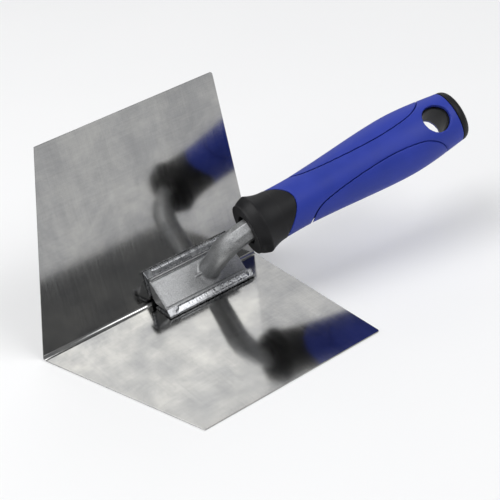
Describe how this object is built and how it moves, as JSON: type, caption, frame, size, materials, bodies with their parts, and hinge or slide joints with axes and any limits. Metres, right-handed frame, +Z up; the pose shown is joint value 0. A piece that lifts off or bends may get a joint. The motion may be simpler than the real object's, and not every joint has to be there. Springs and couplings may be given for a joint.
{
  "type": "inside corner trowel",
  "caption": "Inside corner trowel: bent stainless V blade, cast gooseneck shank crimped to the fold, two-colour moulded handle with a hang hole.",
  "frame": {"origin": "under the middle of the tool's bounding box, on the surface it rests on", "axes": "+X along the fold from the nose of the blade to the handle, +Z up with the lower wing lying flat on its outer face, +Y towards the upper wing, so the lower wing reaches to -Y"},
  "size_m": [0.2288, 0.1132, 0.102],
  "materials": {
    "blade_steel": "fine brushed, softly mirrored",
    "clip_steel": "bright, press-marked",
    "cast_metal": "matt die-cast",
    "core_plastic": "satin black",
    "grip_soft": "satin blue soft-touch"
  },
  "bodies": {
    "root": {"blade": "blade_steel", "clip_lower": "clip_steel", "clip_upper": "clip_steel", "shank_casting": "cast_metal", "handle_core": "core_plastic", "grip_sleeve": "grip_soft", "grip_pad_lower": "grip_soft", "grip_pad_upper": "grip_soft"}
  },
  "joints": []
}
